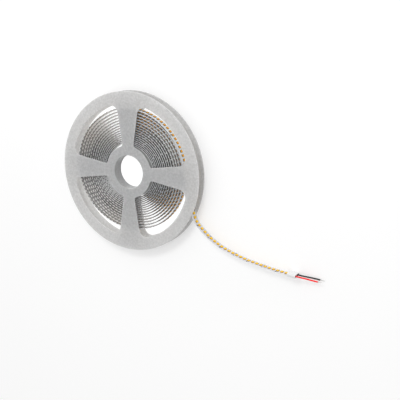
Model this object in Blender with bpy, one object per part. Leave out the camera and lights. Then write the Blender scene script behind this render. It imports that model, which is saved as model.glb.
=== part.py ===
"""A reel of LED strip light, lying on its rear flange with the strip's free end run out beside it.

Metres, +Z up. The origin is on the floor under the reel's centre, the reel's axis is +Z,
and the free end of the strip runs out towards +X and -Y.
"""

import math

import bmesh
import bpy
from mathutils import Matrix, Vector

MM = 0.001

# Reel mouldings
REEL_RADIUS = 90.0 * MM
FLANGE_THICKNESS = 1.1 * MM
RIM_BAND = 13.5 * MM
BORE_RADIUS = 18.9 * MM
SLEEVE_WALL = 1.4 * MM
DRUM_RADIUS = 29.0 * MM
DRUM_WALL = 2.0 * MM
SPIGOT_WALL = 0.9 * MM
SPIGOT_CLEARANCE = 0.3 * MM
SPIGOT_DEPTH = 1.6 * MM
JOINT_GAP = 0.3 * MM
RIB_COUNT = 8
CIRCLE_SEGMENTS = 96

# Windows in the flanges, between the spokes
WINDOW_COUNT = 4
WINDOW_LEDGE = 0.6 * MM
SPOKE_WIDTH_AT_HUB = 14.0 * MM
SPOKE_WIDTH_AT_RIM = 28.6 * MM
WINDOW_HUB_CORNER = 3.5 * MM
WINDOW_RIM_CORNER = 8.5 * MM
CORNER_STEPS = 6
WINDOW_ARC_STEP = math.radians(5.0)

# Strip and its winding
STRIP_WIDTH = 10.0 * MM
STRIP_THICKNESS = 0.4 * MM
SIDE_CLEARANCE = 0.3 * MM
WINDING_SLACK = 1.8 * MM
WINDING_START = math.radians(90.0)
WINDING_TURNS = 15.222
FIRST_PITCH = 1.75 * MM
PITCH_GROWTH = 0.116 * MM
SEGMENTS_PER_TURN = 48
LOOSE_RIGHT = 0.46 * MM
LOOSE_UP = 1.57 * MM
LOOSE_OVAL = 1.40 * MM
LOOSE_SKEW = -0.21 * MM
LOOSE_SHARE_INSIDE = 0.52
LAST_TURN_DRAWN_IN = 2.2 * MM
DRAWN_IN_FROM_END = 0.212
DRAWN_IN_OVER = 0.19

# Free end of the strip: x and y in the floor plane, and the lower edge's height
END_GAP = 0.3 * MM
FREE_ROUTE_MM = [
    (77.0, -21.5, 1.4),
    (78.8, -33.0, 1.4),
    (80.5, -40.8, 1.3),
    (83.2, -47.2, 1.15),
    (86.7, -51.7, 0.95),
    (90.2, -55.1, 0.8),
    (97.0, -61.5, 0.5),
    (105.1, -67.2, 0.25),
    (113.4, -71.9, 0.08),
    (122.6, -75.6, 0.05),
    (132.1, -78.8, 0.05),
    (141.8, -81.5, 0.05),
    (151.2, -83.5, 0.05),
    (160.6, -85.2, 0.1),
    (169.8, -86.7, 0.25),
    (179.8, -87.9, 0.5),
    (189.3, -88.9, 0.75),
    (197.2, -89.7, 0.8),
]
ROUTE_STEP = 0.5 * MM

# Parts soldered to the free end
LED_PITCH = 4.9 * MM
LAST_LED_FROM_END = 7.4 * MM
LED_LENGTH = 2.8 * MM
LED_WIDTH = 3.5 * MM
LED_HEIGHT = 0.8 * MM
LED_RIM = 0.35 * MM
LED_DISH = 0.12 * MM
SEAT_GAP = 0.1 * MM
LEDS_PER_RESISTOR = 7
RESISTOR_LENGTH = 2.0 * MM
RESISTOR_WIDTH = 1.25 * MM
RESISTOR_HEIGHT = 0.5 * MM
RESISTOR_FROM_EDGE = 1.8 * MM
RESISTOR_BEHIND_LED = 0.8 * MM

# End sleeve, solder joints and lead wires
END_SLEEVE_LENGTH = 9.2 * MM
END_SLEEVE_WALL = 0.45 * MM
END_SLEEVE_CORNER = 0.8 * MM
END_SLEEVE_ON_STRIP = 4.6 * MM
WIRE_DIAMETER = 1.6 * MM
WIRE_SPREAD = 2.6 * MM
WIRE_GAP = 0.3 * MM
SOLDER_LENGTH = 1.0 * MM
SOLDER_HEIGHT = 0.7 * MM
SOLDER_SIDES = 12
CONDUCTOR_DIAMETER = 0.7 * MM
CONDUCTOR_BARE = 4.2 * MM
# Each wire beyond its first point: along the strip's end, towards its LED side, and up
BLACK_ROUTE_MM = [
    (1.0, 1.25, -2.6),
    (4.6, 1.0, -2.7),
    (9.0, 0.9, -3.0),
    (14.0, 1.05, -3.5),
    (19.0, 1.2, -4.1),
    (24.0, 1.25, -4.6),
    (28.3, 1.2, -4.9),
]
RED_ROUTE_MM = [
    (1.0, 1.25, 2.6),
    (4.6, 0.75, 2.45),
    (9.0, 0.7, 2.1),
    (14.0, 0.55, 1.3),
    (19.0, 0.25, 0.4),
    (24.0, 0.0, -0.4),
    (27.3, -0.05, -0.85),
]

# Sizes that follow from those above
REEL_WIDTH = 2 * FLANGE_THICKNESS + STRIP_WIDTH + 2 * SIDE_CLEARANCE
MID_PLANE = REEL_WIDTH / 2
SLEEVE_RADIUS = BORE_RADIUS + SLEEVE_WALL
SPIGOT_INNER = DRUM_RADIUS - DRUM_WALL
SPIGOT_OUTER = SPIGOT_INNER + SPIGOT_WALL
SOCKET_RADIUS = SPIGOT_OUTER + SPIGOT_CLEARANCE
WALL_HEIGHT = MID_PLANE - JOINT_GAP / 2
RIB_HEIGHT = MID_PLANE - SPIGOT_DEPTH - JOINT_GAP
WINDOW_HUB_RADIUS = DRUM_RADIUS + WINDOW_LEDGE
WINDOW_RIM_RADIUS = REEL_RADIUS - RIM_BAND
WINDING_INNER = DRUM_RADIUS + WINDING_SLACK
CHANNEL_FLOOR = FLANGE_THICKNESS + SIDE_CLEARANCE
WIRE_STANDOFF = STRIP_THICKNESS / 2 + WIRE_GAP + WIRE_DIAMETER / 2


def clear_scene():
    for item in list(bpy.data.objects):
        bpy.data.objects.remove(item, do_unlink=True)


def make_material(name, colour, roughness, metallic=0.0):
    material = bpy.data.materials.new(name)
    material.use_nodes = True
    shader = material.node_tree.nodes["Principled BSDF"]
    shader.inputs["Base Color"].default_value = (*colour, 1.0)
    shader.inputs["Roughness"].default_value = roughness
    shader.inputs["Metallic"].default_value = metallic
    return material


def add_object(name, data, material):
    item = bpy.data.objects.new(name, data)
    if material.name not in data.materials:
        data.materials.append(material)
    bpy.context.scene.collection.objects.link(item)
    return item


def finish_mesh(name, bm, smooth=False):
    bmesh.ops.recalc_face_normals(bm, faces=bm.faces[:])
    mesh = bpy.data.meshes.new(name)
    bm.to_mesh(mesh)
    bm.free()
    if smooth:
        mesh.shade_smooth()
        mesh.set_sharp_from_angle(angle=math.radians(30))
    return mesh


# Outlines in the plane

def circle_points(radius, count):
    step = 2 * math.pi / count
    return [Vector((radius * math.cos(i * step), radius * math.sin(i * step))) for i in range(count)]


def arc_points(centre, radius, first, last, steps):
    turns = [first + (last - first) * i / steps for i in range(steps + 1)]
    return [centre + Vector((radius * math.cos(a), radius * math.sin(a))) for a in turns]


def angle_of(vector):
    return math.atan2(vector.y, vector.x)


def window_outline():
    """One window, centred on the line half way between two spokes, counter-clockwise."""
    half_pitch = math.pi / WINDOW_COUNT
    hub_half, rim_half = SPOKE_WIDTH_AT_HUB / 2, SPOKE_WIDTH_AT_RIM / 2
    start = Vector((math.sqrt(WINDOW_HUB_RADIUS**2 - hub_half**2), hub_half))
    end = Vector((math.sqrt(WINDOW_RIM_RADIUS**2 - rim_half**2), rim_half))
    along = (end - start).normalized()
    inward = Vector((-along.y, along.x))

    def corner(centre_radius, corner_radius):
        """Centre of a rounded corner, and where it leaves the spoke's edge."""
        base = start + inward * corner_radius
        reach = base.dot(along)
        offset = math.sqrt(reach**2 - base.length_squared + centre_radius**2)
        centre = base + along * (offset - reach)
        return centre, centre - inward * corner_radius

    hub_centre, hub_touch = corner(WINDOW_HUB_RADIUS + WINDOW_HUB_CORNER, WINDOW_HUB_CORNER)
    rim_centre, rim_touch = corner(WINDOW_RIM_RADIUS - WINDOW_RIM_CORNER, WINDOW_RIM_CORNER)
    centre = Vector((0, 0))
    hub_turn, rim_turn = angle_of(hub_centre), angle_of(rim_centre)
    hub_steps = round((half_pitch - hub_turn) / WINDOW_ARC_STEP)
    rim_steps = round((half_pitch - rim_turn) / WINDOW_ARC_STEP)
    half = arc_points(centre, WINDOW_HUB_RADIUS, half_pitch, hub_turn, hub_steps)[:-1]
    half += arc_points(hub_centre, WINDOW_HUB_CORNER, hub_turn - math.pi, angle_of(hub_touch - hub_centre),
                       CORNER_STEPS)
    half += arc_points(rim_centre, WINDOW_RIM_CORNER, angle_of(rim_touch - rim_centre), rim_turn,
                       CORNER_STEPS)
    half += arc_points(centre, WINDOW_RIM_RADIUS, rim_turn, half_pitch, rim_steps)[1:]
    swap = Matrix(((math.cos(2 * half_pitch), math.sin(2 * half_pitch)),
                   (math.sin(2 * half_pitch), -math.cos(2 * half_pitch))))
    return half + [swap @ point for point in reversed(half[1:-1])]


def rounded_box_points(width, height, radius, steps=3):
    """A rectangle with round corners, centred, counter-clockwise."""
    points = []
    for quarter, (side_x, side_y) in enumerate(((1, 1), (-1, 1), (-1, -1), (1, -1))):
        centre = Vector((side_x * (width / 2 - radius), side_y * (height / 2 - radius)))
        first = quarter * math.pi / 2
        points += arc_points(centre, radius, first, first + math.pi / 2, steps)
    return points


# Reel halves

def add_loop(bm, points):
    verts = [bm.verts.new((p.x, p.y, 0)) for p in points]
    edges = [bm.edges.new((verts[i], verts[(i + 1) % len(verts)])) for i in range(len(verts))]
    return verts, edges


def fill_ring(bm, inner, outer, tag, kind, picked=None):
    """Faces between two circles. The picked ones get their own kind."""
    count = len(inner)
    for i in range(count):
        j = (i + 1) % count
        face = bm.faces.new((inner[i], outer[i], outer[j], inner[j]))
        face[tag] = picked if picked and i % (count // RIB_COUNT) == 0 else kind


def raise_faces(bm, faces, height):
    region = list({edge for face in faces for edge in face.edges}) + faces
    raised = bmesh.ops.extrude_face_region(bm, geom=region)["geom"]
    verts = [item for item in raised if isinstance(item, bmesh.types.BMVert)]
    bmesh.ops.translate(bm, vec=(0, 0, height), verts=verts)
    return [item for item in raised if isinstance(item, bmesh.types.BMFace)]


PLATE, SLEEVE, RIB, WALL, SPIGOT = range(5)


def reel_half_mesh(name, hub_rings):
    """A flange with its windows, and its half of the hub standing on it.

    hub_rings holds (outer radius, kind) for each ring of the hub, from the bore outwards.
    """
    bm = bmesh.new()
    tag = bm.faces.layers.int.new("kind")
    rim_edges = add_loop(bm, circle_points(REEL_RADIUS, CIRCLE_SEGMENTS))[1]
    outline = window_outline()
    for number in range(WINDOW_COUNT):
        turn = Matrix.Rotation(2 * math.pi * number / WINDOW_COUNT, 2)
        rim_edges += add_loop(bm, [turn @ point for point in outline])[1]
    inner = add_loop(bm, circle_points(BORE_RADIUS, CIRCLE_SEGMENTS))[0]
    for radius, kind in hub_rings:
        outer, edges = add_loop(bm, circle_points(radius, CIRCLE_SEGMENTS))
        fill_ring(bm, inner, outer, tag, kind, RIB if kind == PLATE else None)
        inner = outer
    bmesh.ops.triangle_fill(bm, use_beauty=True, edges=rim_edges + edges)
    top = raise_faces(bm, bm.faces[:], FLANGE_THICKNESS)
    level = FLANGE_THICKNESS
    for kinds, height in (
        ((SLEEVE, RIB, WALL, SPIGOT), RIB_HEIGHT),
        ((SLEEVE, WALL, SPIGOT), WALL_HEIGHT),
        ((SPIGOT,), MID_PLANE + SPIGOT_DEPTH),
    ):
        chosen = [face for face in top if face[tag] in kinds]
        if chosen:
            top = raise_faces(bm, chosen, height - level)
        level = height
    return finish_mesh(name, bm, smooth=True)


def build_reel(material):
    rear = reel_half_mesh("rear_reel_half", [
        (SLEEVE_RADIUS, SLEEVE), (SOCKET_RADIUS, PLATE), (DRUM_RADIUS, WALL)])
    add_object("rear_reel_half", rear, material)
    front = reel_half_mesh("front_reel_half", [
        (SLEEVE_RADIUS, SLEEVE), (SPIGOT_INNER, PLATE), (SPIGOT_OUTER, SPIGOT), (DRUM_RADIUS, WALL)])
    item = add_object("front_reel_half", front, material)
    item.rotation_euler = (math.pi, 0, 0)
    item.location = (0, 0, REEL_WIDTH)


# Strip

def winding_point(turns):
    """The strip's centre after so many turns from the drum, seen from above, wound clockwise."""
    angle = WINDING_START - 2 * math.pi * turns
    even = WINDING_INNER + FIRST_PITCH * turns + PITCH_GROWTH * turns**2 / 2
    share = LOOSE_SHARE_INSIDE + (1 - LOOSE_SHARE_INSIDE) * turns / WINDING_TURNS
    loose = (LOOSE_RIGHT * math.cos(angle) + LOOSE_UP * math.sin(angle)
             + LOOSE_OVAL * math.cos(2 * angle) + LOOSE_SKEW * math.sin(2 * angle))
    drawn = min(max((turns - WINDING_TURNS + DRAWN_IN_FROM_END) / DRAWN_IN_OVER, 0.0), 1.0)
    radius = even + share * loose - LAST_TURN_DRAWN_IN * drawn**2 * (3 - 2 * drawn)
    return Vector((radius * math.cos(angle), radius * math.sin(angle), CHANNEL_FLOOR + STRIP_WIDTH / 2))


def side_of(direction):
    """The level direction to the strip's LED side, which is on the left as it runs outwards."""
    return Vector((-direction.y, direction.x, 0)).normalized()


def ribbon_mesh(name, points):
    """The strip standing on its edge along a line of points at half its width."""
    bm = bmesh.new()
    rows = []
    for i, point in enumerate(points):
        before, after = points[max(i - 1, 0)], points[min(i + 1, len(points) - 1)]
        side = side_of(after - before) * (STRIP_THICKNESS / 2)
        up = Vector((0, 0, STRIP_WIDTH / 2))
        corners = ((1, 1), (1, -1), (-1, -1), (-1, 1))
        rows.append([bm.verts.new(point + a * side + b * up) for a, b in corners])
    for first, second in zip(rows, rows[1:]):
        for k in range(4):
            bm.faces.new((first[k], first[(k + 1) % 4], second[(k + 1) % 4], second[k]))
    bm.faces.new(rows[0])
    bm.faces.new(reversed(rows[-1]))
    return finish_mesh(name, bm)


def build_winding(material):
    steps = round(WINDING_TURNS * SEGMENTS_PER_TURN)
    points = [winding_point(WINDING_TURNS * i / steps) for i in range(steps + 1)]
    add_object("strip_winding", ribbon_mesh("strip_winding", points), material)
    return points


def smooth_route(knots, step):
    """Points about a step apart on a smooth curve through the knots."""
    chords = [0.0]
    for a, b in zip(knots, knots[1:]):
        chords.append(chords[-1] + (b - a).length)
    slopes = []
    for i in range(len(knots)):
        low, high = max(i - 1, 0), min(i + 1, len(knots) - 1)
        slopes.append((knots[high] - knots[low]) / (chords[high] - chords[low]))
    line = [knots[0]]
    for i in range(len(knots) - 1):
        span = chords[i + 1] - chords[i]
        pieces = max(1, math.ceil(span / step))
        for k in range(1, pieces + 1):
            t = k / pieces
            line.append(knots[i] * (2 * t**3 - 3 * t**2 + 1) + slopes[i] * span * (t**3 - 2 * t**2 + t)
                        + knots[i + 1] * (3 * t**2 - 2 * t**3) + slopes[i + 1] * span * (t**3 - t**2))
    return line


class Route:
    """A line that can be asked for the point at a distance along it."""

    def __init__(self, line):
        self.line = line
        self.marks = [0.0]
        for a, b in zip(line, line[1:]):
            self.marks.append(self.marks[-1] + (b - a).length)
        self.length = self.marks[-1]

    def at(self, distance):
        i = 0
        while i < len(self.line) - 2 and self.marks[i + 1] < distance:
            i += 1
        share = (distance - self.marks[i]) / (self.marks[i + 1] - self.marks[i])
        return self.line[i].lerp(self.line[i + 1], share)


def free_end_route(winding):
    """From just past the winding's end, straight off it, and on through the route's own points."""
    end = winding[-1]
    away = (winding[-1] - winding[-2]).normalized()
    knots = [end + away * END_GAP]
    knots += [Vector((x * MM, y * MM, z * MM + STRIP_WIDTH / 2)) for x, y, z in FREE_ROUTE_MM]
    return Route(smooth_route(knots, ROUTE_STEP))


def led_distances(route):
    """Where the packages sit along the free end, counted back from the last one."""
    last = route.length - LAST_LED_FROM_END
    count = int((last - LED_LENGTH / 2) / LED_PITCH) + 1
    return [last - LED_PITCH * i for i in reversed(range(count))]


def build_free_strip(route, material):
    """Its folds fall half way between the packages, so that each one sits on a flat."""
    folds = [distance + LED_PITCH / 2 for distance in led_distances(route)]
    points = [route.at(mark) for mark in [0.0] + folds + [route.length]]
    add_object("strip_free_end", ribbon_mesh("strip_free_end", points), material)
    return points[-1], (points[-1] - points[-2]).normalized()


# Parts on the strip

def box_bmesh(length, height, width):
    """Along X, standing on y = 0, and centred across Z."""
    bm = bmesh.new()
    bmesh.ops.create_cube(bm, size=1.0)
    bmesh.ops.scale(bm, vec=(length, height, width), verts=bm.verts)
    bmesh.ops.translate(bm, vec=(0, height / 2, 0), verts=bm.verts)
    return bm


def led_mesh():
    """A package with a shallow dish for its phosphor."""
    bm = box_bmesh(LED_LENGTH, LED_HEIGHT, LED_WIDTH)
    bm.faces.ensure_lookup_table()
    front = max(bm.faces, key=lambda face: face.calc_center_median().y)
    bmesh.ops.inset_region(bm, faces=[front], thickness=LED_RIM, depth=-LED_DISH)
    return finish_mesh("led_package", bm)


def seat(item, point, direction, rise=0.0, lift=SEAT_GAP + STRIP_THICKNESS / 2):
    """Stands an item on the strip's LED side, its X along the strip."""
    side = side_of(direction)
    item.location = point + side * lift + Vector((0, 0, rise))
    item.rotation_euler = (0, 0, math.atan2(direction.y, direction.x))


def flat_at(route, distance):
    """Centre and direction of the flat between two folds that a package sits on."""
    low, high = route.at(distance - LED_PITCH / 2), route.at(distance + LED_PITCH / 2)
    return (low + high) / 2, (high - low).normalized()


def build_leds(route, material):
    mesh = led_mesh()
    for number, distance in enumerate(led_distances(route), 1):
        item = add_object(f"led_{number:02d}", mesh, material)
        seat(item, *flat_at(route, distance))


def build_resistors(route, material):
    mesh = finish_mesh("chip_resistor", box_bmesh(RESISTOR_LENGTH, RESISTOR_HEIGHT, RESISTOR_WIDTH))
    places = led_distances(route)[LEDS_PER_RESISTOR - 1::LEDS_PER_RESISTOR]
    for number, distance in enumerate(places, 1):
        middle, direction = flat_at(route, distance)
        item = add_object(f"chip_resistor_{number}", mesh, material)
        place = middle - direction * RESISTOR_BEHIND_LED
        seat(item, place, direction, rise=STRIP_WIDTH / 2 - RESISTOR_FROM_EDGE)


def build_end_sleeve(end, direction, material):
    """A flat tube round the strip's end and the two wires."""
    low_side = STRIP_THICKNESS / 2 + WIRE_GAP
    high_side = WIRE_STANDOFF + WIRE_DIAMETER / 2 + WIRE_GAP
    room = low_side + high_side
    inner = rounded_box_points(room, STRIP_WIDTH + 2 * WIRE_GAP, END_SLEEVE_CORNER)
    outer = rounded_box_points(room + 2 * END_SLEEVE_WALL, STRIP_WIDTH + 2 * (WIRE_GAP + END_SLEEVE_WALL),
                               END_SLEEVE_CORNER + END_SLEEVE_WALL)
    bm = bmesh.new()
    ends = []
    for x in (0, END_SLEEVE_LENGTH):
        ends.append([[bm.verts.new((x, p.x, p.y)) for p in points] for points in (inner, outer)])
    (near_in, near_out), (far_in, far_out) = ends
    count = len(inner)
    for i in range(count):
        j = (i + 1) % count
        for a, b in ((near_in, near_out), (near_out, far_out), (far_out, far_in), (far_in, near_in)):
            bm.faces.new((a[i], b[i], b[j], a[j]))
    item = add_object("end_sleeve", finish_mesh("end_sleeve", bm, smooth=True), material)
    seat(item, end - direction * END_SLEEVE_ON_STRIP, direction, lift=(high_side - low_side) / 2)


def build_solder(name, end, direction, rise, material):
    bm = bmesh.new()
    bmesh.ops.create_cone(bm, cap_ends=True, segments=SOLDER_SIDES, depth=SOLDER_HEIGHT,
                          radius1=SOLDER_LENGTH / 2, radius2=SOLDER_LENGTH / 4)
    bmesh.ops.rotate(bm, cent=(0, 0, 0), matrix=Matrix.Rotation(-math.pi / 2, 3, "X"), verts=bm.verts)
    bmesh.ops.translate(bm, vec=(0, SOLDER_HEIGHT / 2, 0), verts=bm.verts)
    item = add_object(name, finish_mesh(name, bm, smooth=True), material)
    back = END_SLEEVE_ON_STRIP - SOLDER_LENGTH
    seat(item, end - direction * back, direction, rise=rise)


def tube(name, points, diameter, material):
    curve = bpy.data.curves.new(name, "CURVE")
    curve.dimensions = "3D"
    curve.bevel_depth = diameter / 2
    curve.bevel_resolution = 2
    curve.use_fill_caps = True
    spline = curve.splines.new("POLY")
    spline.points.add(len(points) - 1)
    for slot, point in zip(spline.points, points):
        slot.co = (*point, 1.0)
    add_object(name, curve, material)


def build_wire(colour, route_mm, rise, end, direction, insulation, tin):
    """An insulated lead from its solder joint, out through the sleeve, to its bare tip."""
    side = side_of(direction)

    def place(along, across, up):
        return end + direction * along + side * across + Vector((0, 0, up))

    start = -(END_SLEEVE_ON_STRIP - SOLDER_LENGTH) + SOLDER_LENGTH / 2 + WIRE_GAP
    knots = [place(start, WIRE_STANDOFF, rise)]
    knots += [place(x * MM, y * MM, z * MM) for x, y, z in route_mm]
    route = Route(smooth_route(knots, ROUTE_STEP))
    steps = math.ceil(route.length / (2 * WIRE_DIAMETER))
    points = [route.at(route.length * i / steps) for i in range(steps + 1)]
    tube(f"{colour}_wire", points, WIRE_DIAMETER, insulation)
    away = (points[-1] - points[-2]).normalized()
    tip = points[-1] + away * WIRE_GAP
    tube(f"{colour}_wire_tip", [tip, tip + away * CONDUCTOR_BARE], CONDUCTOR_DIAMETER, tin)
    build_solder(f"{colour}_solder_joint", end, direction, rise, tin)


def main():
    clear_scene()
    plastic = make_material("reel_plastic", (0.68, 0.68, 0.68), 0.5)
    circuit = make_material("strip_white", (0.80, 0.80, 0.82), 0.45)
    package = make_material("led_package", (0.90, 0.62, 0.12), 0.4)
    resistor = make_material("resistor_black", (0.03, 0.03, 0.035), 0.4)
    white = make_material("sleeve_white", (0.86, 0.86, 0.85), 0.45)
    black = make_material("wire_black", (0.015, 0.015, 0.015), 0.4)
    red = make_material("wire_red", (0.75, 0.02, 0.02), 0.4)
    tin = make_material("tinned_copper", (0.72, 0.72, 0.70), 0.3, metallic=1.0)

    build_reel(plastic)
    winding = build_winding(circuit)
    route = free_end_route(winding)
    end, direction = build_free_strip(route, circuit)
    build_leds(route, package)
    build_resistors(route, resistor)
    build_end_sleeve(end, direction, white)
    build_wire("black", BLACK_ROUTE_MM, -WIRE_SPREAD, end, direction, black, tin)
    build_wire("red", RED_ROUTE_MM, WIRE_SPREAD, end, direction, red, tin)


main()
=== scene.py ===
import math

import bmesh
import bpy
from mathutils import Matrix, Vector

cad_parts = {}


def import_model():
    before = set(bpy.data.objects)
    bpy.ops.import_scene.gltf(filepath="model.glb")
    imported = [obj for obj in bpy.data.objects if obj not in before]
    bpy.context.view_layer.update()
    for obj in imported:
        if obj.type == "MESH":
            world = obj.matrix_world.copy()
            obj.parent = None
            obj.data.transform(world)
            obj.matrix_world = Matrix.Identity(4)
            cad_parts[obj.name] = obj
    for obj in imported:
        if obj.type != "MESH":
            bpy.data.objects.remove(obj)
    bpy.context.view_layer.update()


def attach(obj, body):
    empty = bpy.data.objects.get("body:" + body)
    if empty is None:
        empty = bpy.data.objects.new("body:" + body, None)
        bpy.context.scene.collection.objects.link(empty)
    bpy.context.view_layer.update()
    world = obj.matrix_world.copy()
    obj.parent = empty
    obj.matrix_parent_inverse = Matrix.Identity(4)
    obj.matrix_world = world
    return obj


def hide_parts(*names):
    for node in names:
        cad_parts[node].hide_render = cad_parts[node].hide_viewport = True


MM = 0.001

# Sizes shared with the part's source
REEL_RADIUS = 90.0 * MM
FLANGE_THICKNESS = 1.1 * MM
REEL_WIDTH = 12.8 * MM
BORE_RADIUS = 18.9 * MM
SLEEVE_RADIUS = 20.3 * MM
DRUM_RADIUS = 29.0 * MM
DRUM_WALL = 2.0 * MM
JOINT_GAP = 0.3 * MM
WINDOW_HUB_RADIUS = 29.6 * MM
WINDOW_RIM_RADIUS = 76.5 * MM
SPOKE_WIDTH_AT_HUB = 14.0 * MM
SPOKE_WIDTH_AT_RIM = 28.6 * MM
WINDOW_HUB_CORNER = 3.5 * MM
WINDOW_RIM_CORNER = 8.5 * MM
STRIP_WIDTH = 10.0 * MM
CHANNEL_FLOOR = 1.4 * MM
WINDING_INNER = 30.8 * MM
WINDING_START = math.radians(90.0)
WINDING_TURNS = 15.222
FIRST_PITCH = 1.75 * MM
PITCH_GROWTH = 0.116 * MM
LOOSE_RIGHT = 0.46 * MM
LOOSE_UP = 1.57 * MM
LOOSE_OVAL = 1.40 * MM
LOOSE_SKEW = -0.21 * MM
LOOSE_SHARE_INSIDE = 0.52
LAST_TURN_DRAWN_IN = 2.2 * MM
DRAWN_IN_FROM_END = 0.212
DRAWN_IN_OVER = 0.19
LED_PITCH = 4.9 * MM
LED_LENGTH = 2.8 * MM
LED_WIDTH = 3.5 * MM
LED_HEIGHT = 0.8 * MM
LAST_LED_FROM_END = 7.4 * MM
LEDS_PER_RESISTOR = 7
RESISTOR_RISE = 3.2 * MM
RESISTOR_BEHIND_LED = 0.8 * MM
END_SLEEVE_LENGTH = 9.2 * MM
END_SLEEVE_ON_STRIP = 4.6 * MM
WIRE_DIAMETER = 1.6 * MM
WIRE_SPREAD = 2.6 * MM
WIRE_GAP = 0.3 * MM
WIRE_STANDOFF = 1.3 * MM
SOLDER_LENGTH = 1.0 * MM
CONDUCTOR_DIAMETER = 0.7 * MM
CONDUCTOR_BARE = 4.2 * MM
END_GAP = 0.3 * MM

# The free end's route over the floor: x, y and the height of its lower edge
FREE_ROUTE_MM = [
    (77.0, -21.5, 1.4),
    (78.8, -33.0, 1.4),
    (80.5, -40.8, 1.3),
    (83.2, -47.2, 1.15),
    (86.7, -51.7, 0.95),
    (90.2, -55.1, 0.8),
    (97.0, -61.5, 0.5),
    (105.1, -67.2, 0.25),
    (113.4, -71.9, 0.08),
    (122.6, -75.6, 0.05),
    (132.1, -78.8, 0.05),
    (141.8, -81.5, 0.05),
    (151.2, -83.5, 0.05),
    (160.6, -85.2, 0.1),
    (169.8, -86.7, 0.25),
    (179.8, -87.9, 0.5),
    (189.3, -88.9, 0.75),
    (197.2, -89.7, 0.8),
]

# The leads' routes from the strip's end: along it, across it and up
BLACK_ROUTE_MM = [
    (1.0, 1.25, -2.6),
    (4.6, 1.0, -2.7),
    (9.0, 0.9, -3.0),
    (14.0, 1.05, -3.5),
    (19.0, 1.2, -4.1),
    (24.0, 1.25, -4.6),
    (28.3, 1.2, -4.9),
]
RED_ROUTE_MM = [
    (1.0, 1.25, 2.6),
    (4.6, 0.75, 2.45),
    (9.0, 0.7, 2.1),
    (14.0, 0.55, 1.3),
    (19.0, 0.25, 0.4),
    (24.0, 0.0, -0.4),
    (27.3, -0.05, -0.85),
]

# Finer sizes that only the scene has
EDGE_ROUND = 0.32 * MM
FLAT_FROM_EDGE = 1.9 * EDGE_ROUND
WALL_CHAMFER = 0.1 * MM
FILM = 0.24 * MM
FILM_RIM = 0.06 * MM
CONTACT = 0.02 * MM
PHOSPHOR_DIP = 0.05 * MM
PAD_PAST_LED = 0.15 * MM
CUT_PAD_RISE = 2.9 * MM
CUT_AFTER_LED = 3
RESISTOR_CAP_FROM_MIDDLE = 0.78 * MM

# Shares: how much of the film's thickness is flat at its rims, and how much of a block is its bevel
FILM_RIM_FLAT = 0.4
BLOCK_BEVEL = 0.15

# Small blocks on the film: length along the strip, height and width
PAD_BLOCK = (1.7 * MM, 0.12 * MM, 0.55 * MM)
CUT_PAD_BLOCK = (1.5 * MM, 0.05 * MM, 2.0 * MM)
RESISTOR_BLOCK = (1.2 * MM, 0.42 * MM, 1.15 * MM)
RESISTOR_CAP_BLOCK = (0.5 * MM, 0.46 * MM, 1.25 * MM)

# A package's outlines from its foot over its lip: how much narrower, how high, and the corners' radius
PACKAGE_OUTLINES = [
    (0.0, 0.0, 0.12 * MM),
    (0.0, 0.5 * MM, 0.12 * MM),
    (0.06 * MM, LED_HEIGHT - 0.04 * MM, 0.14 * MM),
    (0.14 * MM, LED_HEIGHT, 0.14 * MM),
    (0.22 * MM, LED_HEIGHT, 0.2 * MM),
    (0.30 * MM, LED_HEIGHT - 0.08 * MM, 0.2 * MM),
]

# Painted shade on the wound strip: dark dashes and lines where the gaps between the turns fall in shade. A
# rise is measured from the middle of the strip's width
DASH_LENGTH = 3.1 * MM
DASH_WIDTH = 1.1 * MM
DASH_RISE = 4.0 * MM
UPPER_LINE_RISE = 3.6 * MM
UPPER_LINE_WIDTH = 0.9 * MM
LOWER_LINE_RISE = 2.5 * MM
LOWER_LINE_WIDTH = 1.2 * MM
BACK_UPPER_LINE_RISE = 2.7 * MM
BACK_UPPER_LINE_WIDTH = 0.5 * MM
BACK_LOWER_LINE_RISE = 1.8 * MM
BACK_LOWER_LINE_WIDTH = 1.2 * MM

# The tight inner turns as a share of the wound strip's length, and the length of its last turn
TIGHT_TURNS_SHARE = 0.62
LAST_TURN_LENGTH = 445.0 * MM

# The end sleeve's shrunk form
END_SLEEVE_WIDTH = 3.72 * MM
END_SLEEVE_HEIGHT = 11.4 * MM
END_SLEEVE_WALL = 0.42 * MM
END_SLEEVE_ROUND_OUTSIDE = 1.15 * MM
END_SLEEVE_ROUND_INSIDE = 0.8 * MM
END_SLEEVE_OFF_STRIP = 0.95 * MM
TAPER = 0.10 * MM

# Its ripple's height, its span and start in radians, and how much stronger it is in height than width
RIPPLE = 0.06 * MM
RIPPLE_SPAN = 9.0
RIPPLE_START = 0.6
RIPPLE_UPWARD = 1.5

# How far its mouths are drawn in, and over what share of its length
LIP = 0.12 * MM
LIP_AT_STRIP = 0.12
LIP_AT_WIRES = 0.1

# The leads' bare ends: how far they start inside, their twist, and how much they draw together
STRANDS_INSIDE = 0.4 * MM
STRANDS_TWIST = 2.2 * math.pi
STRANDS_DRAWN_IN = 0.12

# How finely curves are stepped
CIRCLE_SEGMENTS = 192
EDGE_STEPS = 4
CORNER_STEPS = 12
ARC_STEP = math.radians(1.875)
TURN_POINTS = 240
TURN_SECTIONS = 120
ROUTE_STEP = 0.5 * MM
FREE_SECTION = 1.25 * MM
FRAME_REACH = 1.0 * MM
WOUND_CORNER_STEPS = 1
FREE_CORNER_STEPS = 3
END_SLEEVE_STATIONS = 14
END_SLEEVE_CORNER_STEPS = 5
WIRE_STEPS = 36
WIRE_BEVEL_STEPS = 6
STRAND_STATIONS = 24
STRAND_SIDES = 8

# An edge that turns by more than this many degrees is shaded sharp
HARD_EDGE = 35
SOFT_EDGE = 50
SOFTEST_EDGE = 60

# Depths of the materials' bump
FINE = 0.05 * MM
MIDDLING = 0.1 * MM
COARSE = 0.2 * MM

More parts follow.
